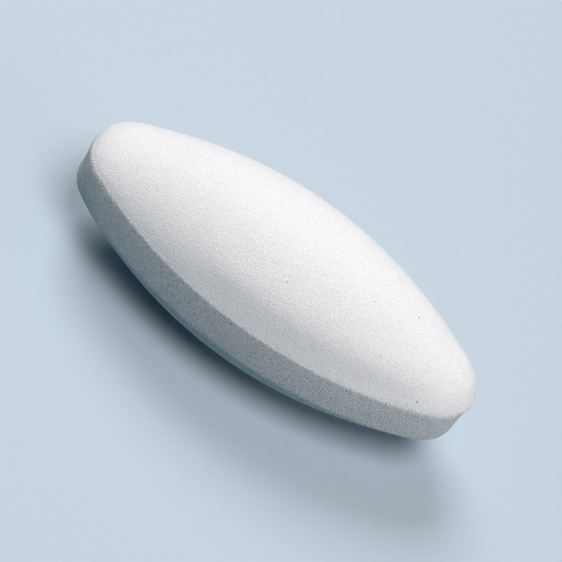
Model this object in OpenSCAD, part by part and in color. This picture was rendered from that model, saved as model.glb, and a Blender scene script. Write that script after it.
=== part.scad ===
// Egg-shaped magnetic stir bar: a rod magnet sealed inside a jacket that is
// moulded round it in one piece. Millimetres. X runs along the bar, Z is up,
// and the origin is the point under the middle that the lower crown rests on.
//
// The jacket has the form that its mould gives it. A die with a straight wall
// makes the belt, and two equal cups, turned about lines parallel to the bar,
// close on it from above and below and make the domes.

/* [Bar] */
// Length from end to end
bar_length = 38; // [34:0.5:60]
// Greatest width, across the belt
bar_width = 16; // [14:0.5:20]
// Thickness from crown to crown
bar_thickness = 14.7; // [13:0.1:18]

/* [Belt] */
// Height of the straight wall between the two rims
belt_height = 3.6; // [1:0.1:6]
// Radius of the rounded ends, seen from above
end_radius = 4.4; // [3:0.1:6]

/* [Magnet] */
// Diameter of the rod
magnet_diameter = 8; // [5:0.5:9]
// Length of the rod
magnet_length = 24; // [10:0.5:28]
// Chamfer round both ends of the rod
magnet_chamfer = 0.6; // [0.2:0.1:1.5]
// Clearance between the rod and the wall of its cavity
magnet_gap = 0.05; // [0.02:0.01:0.2]

/* [Hidden] */

// Straight lines that make up the cup's profile: along the side, where an odd
// number lays a short level one across the crown, and round each end
side_steps = 47;
end_steps = 12;
$fn = 96;

half_length = bar_length / 2;
half_width = bar_width / 2;
half_thickness = bar_thickness / 2;

// Outline: two end arcs, joined by two side arcs that touch them tangentially
end_centre = half_length - end_radius;
side_radius = (pow(end_centre, 2) + pow(half_width, 2) - pow(end_radius, 2))
    / (2 * (half_width - end_radius));
join_x = side_radius * end_centre / (side_radius - end_radius);

// Cup: across the middle it is an arc from rim to rim over the crown. Its axis
// lies this far below the plane of the rim, all along the bar.
dome_height = half_thickness - belt_height / 2;
axis_depth = (pow(half_width, 2) - pow(dome_height, 2)) / (2 * dome_height);
axis_z = belt_height / 2 - axis_depth;
cup_end_radius = norm([end_radius, axis_depth]);
join_angle = acos((join_x - end_centre) / cup_end_radius);

// Half width of the outline at x, between the two end arcs
function outline_half_width(x) =
    half_width - side_radius + sqrt(pow(side_radius, 2) - pow(x, 2));

// Radius of the cup at x, which puts its edge on the outline in the rim's plane
function cup_radius(x) = norm([outline_half_width(x), axis_depth]);

// Profile of the cup, as [radius, distance along the bar], from end to end
side_profile = [for (i = [0 : side_steps])
    let (x = join_x * (2 * i / side_steps - 1)) [cup_radius(x), x]];
end_profile = [for (i = [1 : end_steps])
    let (a = join_angle * (1 - i / end_steps))
    [cup_end_radius * sin(a), end_centre + cup_end_radius * cos(a)]];
start_profile = [for (i = [end_steps - 1 : -1 : 0])
    [end_profile[i][0], -end_profile[i][1]]];
cup_profile = concat(start_profile, side_profile, end_profile);

// The die's wall, taller than the bar
module die() {
    tall = 2 * bar_thickness;
    translate([0, 0, -tall / 2]) linear_extrude(tall) {
        intersection() {
            translate([0, half_width - side_radius]) circle(side_radius, $fn = 8 * $fn);
            translate([0, side_radius - half_width]) circle(side_radius, $fn = 8 * $fn);
            square([2 * join_x, bar_width + end_radius], center = true);
        }
        for (side = [-1, 1]) intersection() {
            translate([side * end_centre, 0]) circle(end_radius);
            translate([side * (join_x + end_radius), 0])
                square([2 * end_radius, 2 * bar_width], center = true);
        }
    }
}

// The round space of the upper cup
module cup() {
    translate([0, 0, axis_z]) rotate([0, -90, 0]) rotate_extrude() polygon(cup_profile);
}

// The rod's form, grown on every side by the clearance
module rod(clearance = 0) {
    radius = magnet_diameter / 2 + clearance;
    reach = magnet_length / 2 + clearance;
    rotate([0, 90, 0]) rotate_extrude() polygon([
        [0, -reach], [radius - magnet_chamfer, -reach], [radius, magnet_chamfer - reach],
        [radius, reach - magnet_chamfer], [radius - magnet_chamfer, reach], [0, reach]]);
}

module jacket() {
    color("whitesmoke") translate([0, 0, half_thickness]) difference() {
        intersection() {
            die();
            cup();
            mirror([0, 0, 1]) cup();
        }
        rod(magnet_gap);
    }
}

module magnet() {
    color("slategray") translate([0, 0, half_thickness]) rod();
}

jacket();
magnet();
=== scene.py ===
import math

import bmesh
import bpy
from mathutils import Matrix, Vector, noise


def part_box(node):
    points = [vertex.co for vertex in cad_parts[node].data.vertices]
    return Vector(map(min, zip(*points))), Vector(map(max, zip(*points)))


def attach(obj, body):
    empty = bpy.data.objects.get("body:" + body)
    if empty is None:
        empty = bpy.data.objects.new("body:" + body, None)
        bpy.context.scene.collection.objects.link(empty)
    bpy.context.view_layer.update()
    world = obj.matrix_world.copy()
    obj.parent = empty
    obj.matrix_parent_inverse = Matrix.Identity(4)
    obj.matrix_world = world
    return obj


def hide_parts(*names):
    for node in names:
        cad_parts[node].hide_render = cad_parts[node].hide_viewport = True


# Egg-shaped magnetic stir bar: a rod magnet inside a white fluoropolymer jacket
# that is pressed round it in one piece, and then sintered. X runs along the bar to
# the right, Y to its far side, and Z up. The origin is the point that the lower
# crown rests on.

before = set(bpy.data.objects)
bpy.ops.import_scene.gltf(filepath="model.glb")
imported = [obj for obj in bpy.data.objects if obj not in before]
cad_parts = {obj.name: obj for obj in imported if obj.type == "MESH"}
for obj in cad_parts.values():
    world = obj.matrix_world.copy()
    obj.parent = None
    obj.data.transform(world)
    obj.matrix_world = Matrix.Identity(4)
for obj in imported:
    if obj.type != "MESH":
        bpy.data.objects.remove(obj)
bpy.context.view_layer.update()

MM = 0.001   # sizes and places are in millimetres, and this turns them into metres

# ---------------------------------------------------------------- the bar's form

jacket_low, jacket_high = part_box("jacket")
half_length = jacket_high.x / MM
half_width = jacket_high.y / MM
half_thickness = (jacket_high.z - jacket_low.z) / 2 / MM
middle = Vector((0, 0, half_thickness))

belt_height = 3.6   # straight wall between the two domes
end_radius = 4.4    # round end of the outline, seen from above

belt_bulge = 0.05   # how far the belt's middle stands out over its rims

# How far the rounding of a rim reaches onto dome and belt. The upper rim is crisp
# in the middle of the bar, and rubbed off towards both ends of the near side.
crisp_rim = 0.07
lower_rim = 0.22
left_wear, left_from, left_to = 0.38, -9.0, -16.5
right_wear, right_from, right_to = 0.25, 7.0, 17.5
worn_side, kept_side = 0.5, 3.0    # on Y, and the other places are on X

# The lower rim is crisper round both ends than in the middle
lower_end_rim = 0.07
soft_within, crisp_beyond = 10.5, 14.5    # on X, both ways

# Between its rims the belt lies back a little at both tips, and bulges elsewhere
tip_hollow = 0.06
hollow_from, hollow_to = 18.2, 18.8    # on X, both ways

# Outline: two end arcs, joined by two side arcs that touch them tangentially
end_centre = half_length - end_radius
side_radius = ((end_centre ** 2 + half_width ** 2 - end_radius ** 2)
               / (2 * (half_width - end_radius)))
side_sweep = math.atan2(end_centre, side_radius - half_width)

# Dome: an arc across the bar from rim to rim, about a line this far below the rim
dome_height = half_thickness - belt_height / 2
axis_depth = (half_width ** 2 - dome_height ** 2) / (2 * dome_height)


def outline_half_width(x):
    """Half of the outline's width at x."""
    if abs(x) < side_radius * math.sin(side_sweep):
        return half_width - side_radius + math.sqrt(side_radius ** 2 - x ** 2)
    return math.sqrt(max(end_radius ** 2 - (abs(x) - end_centre) ** 2, 0))


def dome_z(x, y):
    """Height of the upper dome over the middle plane."""
    rise = outline_half_width(x) ** 2 + axis_depth ** 2 - y ** 2
    return belt_height / 2 - axis_depth + math.sqrt(max(rise, 0))


def smooth_step(low, high, value):
    """0 at low, 1 at high, and smooth between them."""
    t = min(max((value - low) / (high - low), 0), 1)
    return t * t * (3 - 2 * t)


class Rub:
    """A stretch of the lower rim, round the place nearest to (x, y), that is rubbed off further."""

    def __init__(self, x, y, wear, reach):
        self.place = Vector((x, y))
        self.wear = wear      # what it adds to the rounding
        self.reach = reach    # half of its length along the rim

    def at(self, edge):
        """What it adds to the rounding at a point of the outline."""
        far = min((edge - self.place).length / self.reach, 1)
        return self.wear * (1 + math.cos(math.pi * far)) / 2


RUBS = [
    Rub(-17.0, -3.7, 0.6, 2.6),   # the shoulder at the left end
    Rub(19.0, 0.0, 0.4, 1.3),     # the right tip
]


def rim_softness(edge, upper):
    """How far the rounding of the rim reaches at this place."""
    if upper:
        wear = (left_wear * smooth_step(left_from, left_to, edge.x)
                + right_wear * smooth_step(right_from, right_to, edge.x))
        return crisp_rim + wear * smooth_step(kept_side, worn_side, edge.y)
    soft = smooth_step(crisp_beyond, soft_within, abs(edge.x))
    rubbed = sum(rub.at(edge) for rub in RUBS)
    return lower_end_rim + (lower_rim - lower_end_rim) * soft + rubbed


def belt_curve(x):
    """How far the middle of the belt stands out over its rims at x."""
    return belt_bulge - (belt_bulge + tip_hollow) * smooth_step(hollow_from, hollow_to, abs(x))


# ---------------------------------------------------------------- flash and stray of the rims

flash_depth = 0.12   # how far a flash reaches from the rim onto dome and belt
flash_taper = 1.5    # at 1 its edge runs straight to its tip, and above 1 it is fuller


class Flash:
    """A sliver that the press has left on the upper rim, round the place nearest to (x, y)."""

    def __init__(self, x, y, proud, reach):
        self.place = Vector((x, y))
        self.proud = proud    # how far it stands out
        self.reach = reach    # half of its length along the rim

    def at(self, point):
        """How far the rim stands out at a point of the outline."""
        far = (point - self.place).length / self.reach
        return self.proud * max(0, 1 - far ** flash_taper)


FLASHES = [
    Flash(-16.21, 4.09, 0.38, 0.20),   # a nib on the far side
    Flash(18.98, -0.38, 0.17, 1.0),    # a thin lip at the right tip, in two stretches
    Flash(18.80, -1.30, 0.11, 0.75),
]

# Both rims stray a little from a true line, each along its own slice of the noise
rim_wander = 0.02    # both ways
wander_rate = 1.3    # waves per millimetre
upper_slice, lower_slice = 5, 9


def rim_shift(point, upper):
    """How far the rim stands out from the true outline at this place."""
    cut = upper_slice if upper else lower_slice
    stray = rim_wander * noise.noise(Vector((point.x * wander_rate, point.y * wander_rate, cut)))
    if not upper:
        return stray
    return stray + max(flash.at(point) for flash in FLASHES)


# ---------------------------------------------------------------- mesh of the jacket

side_stations = 200    # steps along each side arc
end_stations = 160     # steps round each end arc
side_crowding = 0.35   # above 0 the steps of a side arc crowd towards both its ends
dome_rows = 40
dome_crowding = 1.3    # above 1 the rows of a dome crowd towards its rim
rim_rows = 5
belt_rows = 12
weld = 1e-8            # metres; what lies closer together becomes one point


def outline_stations():
    """Points all the way round the outline, each with the point of the centre line it looks at."""
    stations = []
    for turn in (1, -1):
        centre = Vector((end_centre * turn, 0))
        for i in range(end_stations):
            angle = (2 * i / end_stations - 1) * (math.pi / 2 - side_sweep)
            edge = Vector((math.cos(angle), math.sin(angle))) * end_radius * turn + centre
            stations.append((edge, centre))
        for i in range(side_stations):
            share = 1 - 2 * i / side_stations
            angle = side_sweep * ((1 + side_crowding) * share - side_crowding * share ** 3)
            edge = Vector((side_radius * math.sin(angle),
                           side_radius * math.cos(angle) - side_radius + half_width))
            foot = Vector(((side_radius - half_width) * math.tan(angle), 0))
            stations.append((edge * turn, foot * turn))
    return stations


def station_column(edge, foot, upper):
    """Points from a crown over the rim and along the belt to the middle plane, as inset and height."""
    width = (foot - edge).length
    inward = (foot - edge) / width
    column = []
    softness = rim_softness(edge, upper)
    for row in range(dome_rows + 1):
        inset = softness + (width - softness) * (1 - row / dome_rows) ** dome_crowding
        place = edge + inward * inset
        column.append((inset, dome_z(place.x, place.y)))
    inset_top, z_top = column[-1]
    corner = belt_height / 2
    z_low = corner - softness
    for row in range(1, rim_rows + 1):
        t = row / rim_rows
        column.append(((1 - t) ** 2 * inset_top,
                       (1 - t) ** 2 * z_top + 2 * t * (1 - t) * corner + t ** 2 * z_low))
    for row in range(1, belt_rows // 2 + 1):
        share = 1 - 2 * row / belt_rows
        column.append((-belt_curve(edge.x) * (1 - share ** 2), z_low * share))
    return column


def rim_apex(column):
    """The middle of the rounding, as inset and height."""
    row = dome_rows + rim_rows // 2
    before, after = column[row], column[row + 1]
    return (before[0] + after[0]) / 2, (before[1] + after[1]) / 2


wave_size = 5.5       # length of the jacket's slow waves
wave_height = 0.010   # and their height, both ways
wave_inset = 2        # how far in from the rim they have it in full

# One flank has a faint hollow beside the rim, and a faint shoulder further in
shoulder_height = 0.105
hollow_inset = 0.46
shoulder_inset = 1.5
shoulder_end = 3.6
shoulder_from, shoulder_to = -8.0, 16.5
shoulder_fade = 5.0


def shoulder(x, y, inset):
    """How far the flank stands over the dome's true arc at this inset from the rim."""
    if y > 0 or inset > shoulder_end:
        return 0
    along = (smooth_step(shoulder_from, shoulder_from + shoulder_fade, x)
             * smooth_step(shoulder_to, shoulder_to - shoulder_fade, x))
    if inset < hollow_inset:
        rise = -smooth_step(0, hollow_inset, inset)
    elif inset < shoulder_inset:
        rise = 2 * smooth_step(hollow_inset, shoulder_inset, inset) - 1
    else:
        rise = smooth_step(shoulder_end, shoulder_inset, inset)
    return shoulder_height * along * rise


def jacket_points():
    """Rows of points from the upper crown to the lower one."""
    upper, lower = [], []
    for edge, foot in outline_stations():
        inward = (foot - edge).normalized()
        for rows, side in ((upper, 1), (lower, -1)):
            column = station_column(edge, foot, side > 0)
            apex_inset, apex_z = rim_apex(column)
            shift = rim_shift(edge, side > 0)
            points = []
            for inset, z in column:
                far = math.hypot(inset - apex_inset, z - apex_z) / flash_depth
                place = edge + inward * (inset - shift * math.exp(-far ** 2))
                point = Vector((place.x, place.y, z * side))
                swell = noise.noise(point / wave_size) * wave_height * min(1, inset / wave_inset)
                if side > 0:
                    swell += shoulder(place.x, place.y, inset)
                point.z += swell * side
                points.append(point)
            rows.append(points)
    return [up + low[-2::-1] for up, low in zip(upper, lower)]


def add_jacket_skin(mesh):
    """The outside of the jacket, as a net of quads from crown to crown."""
    net = [[mesh.verts.new((point + middle) * MM) for point in column] for column in jacket_points()]
    for here, there in zip(net, net[1:] + net[:1]):
        for row in range(len(here) - 1):
            mesh.faces.new((here[row], here[row + 1], there[row + 1], there[row]))
    bmesh.ops.remove_doubles(mesh, verts=mesh.verts, dist=weld)


magnet_gap = 0.05      # all round the magnet
magnet_chamfer = 0.6
pocket_steps = 96


def add_magnet_pocket(mesh):
    """The closed space inside that the rod magnet fills, with its faces turned inwards."""
    magnet_low, magnet_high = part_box("magnet")
    radius = (magnet_high.y - magnet_low.y) / 2 / MM + magnet_gap
    reach = magnet_high.x / MM + magnet_gap
    profile = [(-reach, radius - magnet_chamfer), (magnet_chamfer - reach, radius),
               (reach - magnet_chamfer, radius), (reach, radius - magnet_chamfer)]
    rings = []
    for x, size in profile:
        ring = []
        for i in range(pocket_steps):
            angle = 2 * math.pi * i / pocket_steps
            point = Vector((x, size * math.cos(angle), size * math.sin(angle)))
            ring.append(mesh.verts.new((point + middle) * MM))
        rings.append(ring)
    for near, far in zip(rings, rings[1:]):
        for i in range(pocket_steps):
            j = (i + 1) % pocket_steps
            mesh.faces.new((near[i], near[j], far[j], far[i]))
    mesh.faces.new(rings[0][::-1])
    mesh.faces.new(rings[-1])


def make_jacket():
    """The jacket as one mesh, smooth outside and with the plain pocket inside."""
    mesh = bmesh.new()
    add_jacket_skin(mesh)
    bmesh.ops.recalc_face_normals(mesh, faces=mesh.faces)
    skin = len(mesh.faces)
    add_magnet_pocket(mesh)
    data = bpy.data.meshes.new("pressed_jacket")
    mesh.to_mesh(data)
    mesh.free()
    for face in data.polygons:
        face.use_smooth = face.index < skin
    jacket = bpy.data.objects.new("pressed_jacket", data)
    bpy.context.scene.collection.objects.link(jacket)
    return jacket


# ---------------------------------------------------------------- finishes

class Wire:
    """A socket's value in a net of nodes. Each sum written with it adds a Math node there."""

    def __init__(self, net, socket):
        self.net = net
        self.socket = socket

    def math(self, operation, *values):
        return self.net.node("ShaderNodeMath", {"operation": operation}, dict(enumerate(values)))

    def __add__(self, other):
        return self.math("ADD", self, other)

    def __sub__(self, other):
        return self.math("SUBTRACT", self, other)

    def __mul__(self, other):
        return self.math("MULTIPLY", self, other)

    def __rsub__(self, other):
        return self.math("SUBTRACT", other, self)

    __radd__ = __add__
    __rmul__ = __mul__

    def at_least(self, other):
        return self.math("MAXIMUM", self, other)

    def at_most(self, other):
        return self.math("MINIMUM", self, other)

    def between(self, low, high):
        """0 below low, 1 above high, and smooth between them."""
        return self.net.node("ShaderNodeMapRange", {"interpolation_type": "SMOOTHSTEP"},
                             {"Value": self, "From Min": low, "From Max": high})


class Net:
    """A net of nodes that is being made."""

    def __init__(self, tree):
        self.nodes = tree.nodes
        self.links = tree.links

    def feed(self, socket, value):
        """Links a wire to the socket, or sets the socket to a plain value."""
        if isinstance(value, Wire):
            self.links.new(value.socket, socket)
        else:
            socket.default_value = value

    def node(self, kind, settings, inputs, output=0):
        """Adds a node, sets it up, feeds its sockets and gives back one of its outputs."""
        made = self.nodes.new(kind)
        for name, value in settings.items():
            setattr(made, name, value)
        for name, value in inputs.items():
            self.feed(made.inputs[name], value)
        return Wire(self, made.outputs[output])

    def seen(self):
        """1 where the camera looks, directly or in a gloss, and 0 for light that bounces."""
        camera, glossy, through = [self.node("ShaderNodeLightPath", {}, {}, "Is %s Ray" % kind)
                                   for kind in ("Camera", "Glossy", "Transmission")]
        return camera.at_least(glossy.at_least(through))

    def place(self):
        """Where the shaded point is, in metres."""
        return self.node("ShaderNodeTexCoord", {}, {}, "Object")

    def grain(self, size, detail=2.0, place=None):
        """Noise from 0 to 1 whose lumps are about this many millimetres across."""
        return self.node("ShaderNodeTexNoise", {},
                         {"Vector": place or self.place(), "Scale": 1 / (size * MM), "Detail": detail})

    def blend(self, share, first, second):
        """A colour between two others."""
        # A Mix node takes two colours at its sockets 6 and 7, and gives theirs at 2
        return self.node("ShaderNodeMix", {"data_type": "RGBA"}, {0: share, 6: first, 7: second}, 2)


class Finish(Net):
    """A material that is being made."""

    def __init__(self, name):
        self.material = bpy.data.materials.new(name)
        self.material.use_nodes = True
        super().__init__(self.material.node_tree)
        self.shader = self.nodes["Principled BSDF"]

    def surface(self, **sockets):
        """Feeds the shader's sockets, whose names are written with _ for a space."""
        for name, value in sockets.items():
            self.feed(self.shader.inputs[name.replace("_", " ")], value)

    def bump(self, height, depth):
        """Relief, as deep as this many millimetres where height goes from 0 to 1."""
        relief = self.node("ShaderNodeBump", {}, {"Height": height, "Distance": depth * MM})
        self.surface(Normal=relief)


def rgb(red, green, blue):
    """An opaque colour."""
    return (red, green, blue, 1)


speck_core, speck_edge = 0.4, 1.2    # where a speck's fading starts and ends, in radii
speck_brown = rgb(0.16, 0.15, 0.14)


class Speck:
    """A dark grain that was pressed into the surface."""

    def __init__(self, place, radius, dark):
        self.place = place
        self.radius = radius
        self.dark = dark    # from 0, unseen, to 1, the full colour of a grain

    def spot(self, finish, shaded):
        """How dark it makes the shaded place."""
        far = finish.node("ShaderNodeVectorMath", {"operation": "DISTANCE"},
                          {0: shaded, 1: self.place * MM}, "Value")
        clear = far.between(speck_core * self.radius * MM, speck_edge * self.radius * MM)
        return (1 - clear) * self.dark


def on_dome(x, y):
    """The point of the upper dome over (x, y)."""
    rise = shoulder(x, y, outline_half_width(x) - abs(y))
    return middle + Vector((x, y, dome_z(x, y) + rise))


def on_belt(x, height):
    """The point of the belt's near side at x, this high over the middle plane."""
    bulge = belt_curve(x) * (1 - (2 * height / belt_height) ** 2)
    return middle + Vector((x, -outline_half_width(x) - bulge, height))


SPECKS = [
    Speck(on_dome(11.18, 0.71), 0.085, 0.8),
    Speck(on_dome(10.32, -4.23), 0.080, 0.45),
    Speck(on_dome(14.99, -4.11), 0.085, 0.9),
    Speck(on_dome(0.85, -4.76), 0.070, 0.7),
    Speck(on_dome(7.48, -1.48), 0.070, 0.4),
    Speck(on_belt(12.46, -0.2), 0.080, 0.8),
    Speck(on_belt(15.12, -1.4), 0.070, 0.6),
    Speck(on_belt(16.25, 1.2), 0.080, 0.8),
    Speck(on_belt(-0.85, 1.5), 0.085, 1.0),
]

# The die wall leaves the belt rougher than the domes, and more speckled, and the belt's white carries
# a slight painted shade. That fades out across the upper rim, from this far below it to this far over
# it,
upper_fade_from, upper_fade_to = 0.1, 0.3
# and between these two places below the lower one.
lower_fade_from, lower_fade_to = 0.3, 1.8

powder_size = 0.11    # the grain of the powder
cloud_size = 3.2      # faint clouds in the white

white_level = 0.90    # share of the light that the white throws back
white_tint = (1.0, 0.975, 0.99)
belt_painted_shade = 0.01     # painted shade: how much darker the belt's white is made
dome_speckle = 0.32   # contrast of the powder's speckle
belt_speckle = 1.2    # added on the belt
cloud_speckle = 0.05

dullness = 0.72       # roughness
powder_dullness = 0.2
gloss = 0.25          # specular level
glow = 0.5            # share of the light that comes back from inside
glow_depth = 0.45
powder_relief = 0.10
belt_relief = 1.8     # added on the belt, in shares of the powder's relief


def jacket_finish():
    """Sintered fluoropolymer: dull white, with the fine grain of the powder it was pressed from."""
    finish = Finish("sintered_white")
    place = finish.place()
    powder = finish.grain(powder_size, detail=1.0)
    clouds = finish.grain(cloud_size)
    height = finish.node("ShaderNodeSeparateXYZ", {}, {"Vector": place}, "Z") - half_thickness * MM
    rim = belt_height / 2
    belt = ((1 - height.between((rim - upper_fade_from) * MM, (rim + upper_fade_to) * MM))
            * height.between(-(rim + lower_fade_to) * MM, -(rim + lower_fade_from) * MM))
    speckle = (powder - 0.5) * (dome_speckle + belt * belt_speckle)
    # the belt's white is darkened a little here, as painted shade
    level = white_level - belt * belt_painted_shade + speckle + (clouds - 0.5) * cloud_speckle
    white = finish.node("ShaderNodeVectorMath", {"operation": "SCALE"},
                        {0: white_tint, "Scale": level.at_most(1.0)})
    dark = sum(speck.spot(finish, place) for speck in SPECKS)
    finish.surface(Base_Color=finish.blend(dark, white, speck_brown),
                   Roughness=dullness + powder * powder_dullness,
                   Specular_IOR_Level=gloss,
                   Subsurface_Weight=glow,
                   Subsurface_Radius=(1, 1, 1),
                   Subsurface_Scale=glow_depth * MM)
    finish.bump(powder * (1 + belt * belt_relief), powder_relief)
    return finish.material


scratch_width = 0.12
scratch_draw = (1, 0.05, 0.05)    # draws the noise out round the rod
scratch_share = 0.6               # of the tone, and the pores have the rest
pore_size = 0.5
tone_low, tone_high = 0.3, 0.7    # where the tone is all dark, and all light
dark_alloy = rgb(0.30, 0.30, 0.31)
light_alloy = rgb(0.43, 0.43, 0.44)
alloy_dullness = 0.38
scratch_dullness = 0.25
scratch_relief = 0.01


def magnet_finish():
    """Cast alloy with a ground side: dull grey, with fine scratches round the rod."""
    finish = Finish("ground_alloy")
    drawn = finish.node("ShaderNodeVectorMath", {"operation": "MULTIPLY"},
                        {0: finish.place(), 1: scratch_draw})
    scratches = finish.grain(scratch_width, detail=3.0, place=drawn)
    pores = finish.grain(pore_size)
    tone = scratches * scratch_share + pores * (1 - scratch_share)
    finish.surface(Base_Color=finish.blend(tone.between(tone_low, tone_high), dark_alloy, light_alloy),
                   Roughness=alloy_dullness + scratches * scratch_dullness,
                   Metallic=1.0)
    finish.bump(scratches, scratch_relief)
    return finish.material


pale_blue = rgb(0.50, 0.58, 0.66)
slate_blue = rgb(0.12, 0.235, 0.30)    # what the floor throws back onto the bar
tooth_size = 0.6
tooth_speckle = 0.06
sheet_dullness = 0.9


def floor_finish():
    """A pale, dull sheet, whose light on the bar is that of a darker one."""
    finish = Finish("pale_sheet")
    tooth = finish.grain(tooth_size, detail=3.0)
    pale = finish.blend(tooth * tooth_speckle, pale_blue, rgb(1, 1, 1))
    finish.surface(Base_Color=finish.blend(finish.seen(), slate_blue, pale),
                   Roughness=sheet_dullness)
    return finish.material


# ---------------------------------------------------------------- the parts

jacket = make_jacket()
jacket.data.materials.append(jacket_finish())
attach(jacket, "root")
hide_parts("jacket")

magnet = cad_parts["magnet"]
magnet.data.materials.clear()
magnet.data.materials.append(magnet_finish())

# ---------------------------------------------------------------- floor, light and camera

floor_radius = 300
lamp_distance = 500    # from the middle of the bar


def make_floor():
    """The round sheet that the bar lies on."""
    mesh = bmesh.new()
    bmesh.ops.create_circle(mesh, cap_ends=True, segments=128, radius=floor_radius * MM)
    data = bpy.data.meshes.new("floor")
    mesh.to_mesh(data)
    mesh.free()
    data.materials.append(floor_finish())
    floor = bpy.data.objects.new("floor", data)
    bpy.context.scene.collection.objects.link(floor)


def make_lamp(name, azimuth, elevation, size, watts):
    """A square softbox that faces the bar. Azimuth is counted from +X towards +Y."""
    lamp = bpy.data.lights.new(name, "AREA")
    lamp.size = size * MM
    lamp.energy = watts
    holder = bpy.data.objects.new(name, lamp)
    a, e = math.radians(azimuth), math.radians(elevation)
    towards = Vector((math.cos(a) * math.cos(e), math.sin(a) * math.cos(e), math.sin(e)))
    holder.location = middle * MM + towards * (lamp_distance * MM)
    holder.rotation_euler = towards.to_track_quat("Z", "Y").to_euler()
    bpy.context.scene.collection.objects.link(holder)


def make_backdrop():
    """Pale where the camera sees past the floor, and no light otherwise."""
    world = bpy.data.worlds.new("studio")
    world.use_nodes = True
    net = Net(world.node_tree)
    background = net.nodes["Background"]
    net.feed(background.inputs["Color"], pale_blue)
    net.feed(background.inputs["Strength"], net.seen())
    bpy.context.scene.world = world


camera_elevation = 48.0   # degrees above the floor
camera_turn = 0.7         # degrees round the bar
camera_roll = 35.25       # degrees, so that the bar runs down to the right
camera_distance = 177     # from the middle of the bar
aim_right = 0.38          # where the camera looks, from the middle of the bar
aim_up = -0.06
lens = 136.7              # focal length
sensor = 36               # width
nearest, farthest = 10, 10000    # what the camera sees lies between these distances


def make_camera():
    """The camera, which looks down on the near side of the bar."""
    a, e = math.radians(camera_turn), math.radians(camera_elevation)
    back = Vector((math.sin(a) * math.cos(e), -math.cos(a) * math.cos(e), math.sin(e)))
    level = Vector((0, 0, 1)).cross(back).normalized()
    roll = Matrix.Rotation(math.radians(camera_roll), 3, back)
    right = roll @ level
    up = back.cross(right)
    data = bpy.data.cameras.new("camera")
    data.lens = lens
    data.sensor_width = sensor
    data.clip_start = nearest * MM
    data.clip_end = farthest * MM
    camera = bpy.data.objects.new("camera", data)
    camera.rotation_euler = Matrix((right, up, back)).transposed().to_euler()
    camera.location = (middle + back * camera_distance + right * aim_right + up * aim_up) * MM
    bpy.context.scene.collection.objects.link(camera)
    bpy.context.scene.camera = camera


make_floor()
make_lamp("overhead_softbox", azimuth=300, elevation=70, size=250, watts=1.67)
make_lamp("key_softbox", azimuth=135, elevation=50, size=250, watts=1.65)
make_lamp("side_softbox", azimuth=0, elevation=12, size=180, watts=0.58)
make_backdrop()
make_camera()
bpy.context.scene.view_settings.view_transform = "Standard"
